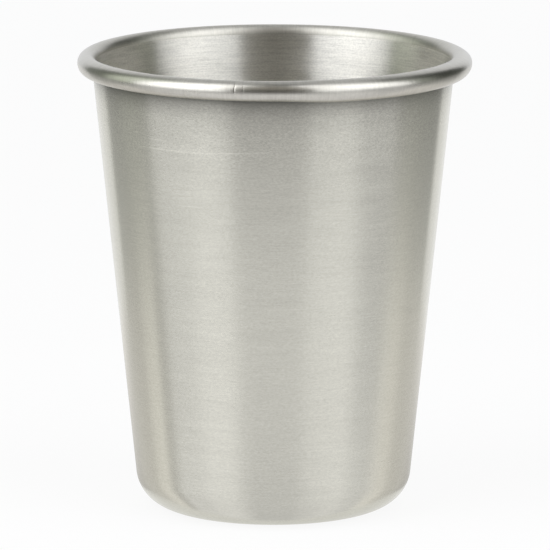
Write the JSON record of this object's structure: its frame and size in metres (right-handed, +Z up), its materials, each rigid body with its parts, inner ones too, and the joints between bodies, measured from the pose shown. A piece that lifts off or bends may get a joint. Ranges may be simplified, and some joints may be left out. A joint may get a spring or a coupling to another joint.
{
  "type": "shot glass",
  "caption": "Stainless steel shot glass: a tapered cup drawn from one sheet, with a hollow rolled rim, a rounded heel and a floor pressed up inside its standing ring.",
  "frame": {"origin": "centre of the standing ring, on the plane of the table", "axes": "+Z up along the cup's axis of revolution; X and Y are free, because the cup is the same all round"},
  "size_m": [0.048, 0.048, 0.056],
  "materials": {
    "rim_steel": "burnished by the rolling, smoother and brighter than the wall, with fine marks across it",
    "wall_steel": "satin, brushed finely round the cup, with a coarser brushing inside",
    "base_steel": "satin, brushed in rings round the axis"
  },
  "bodies": {
    "root": {"rolled_rim": "rim_steel", "tapered_wall": "wall_steel", "base": "base_steel"}
  },
  "joints": []
}
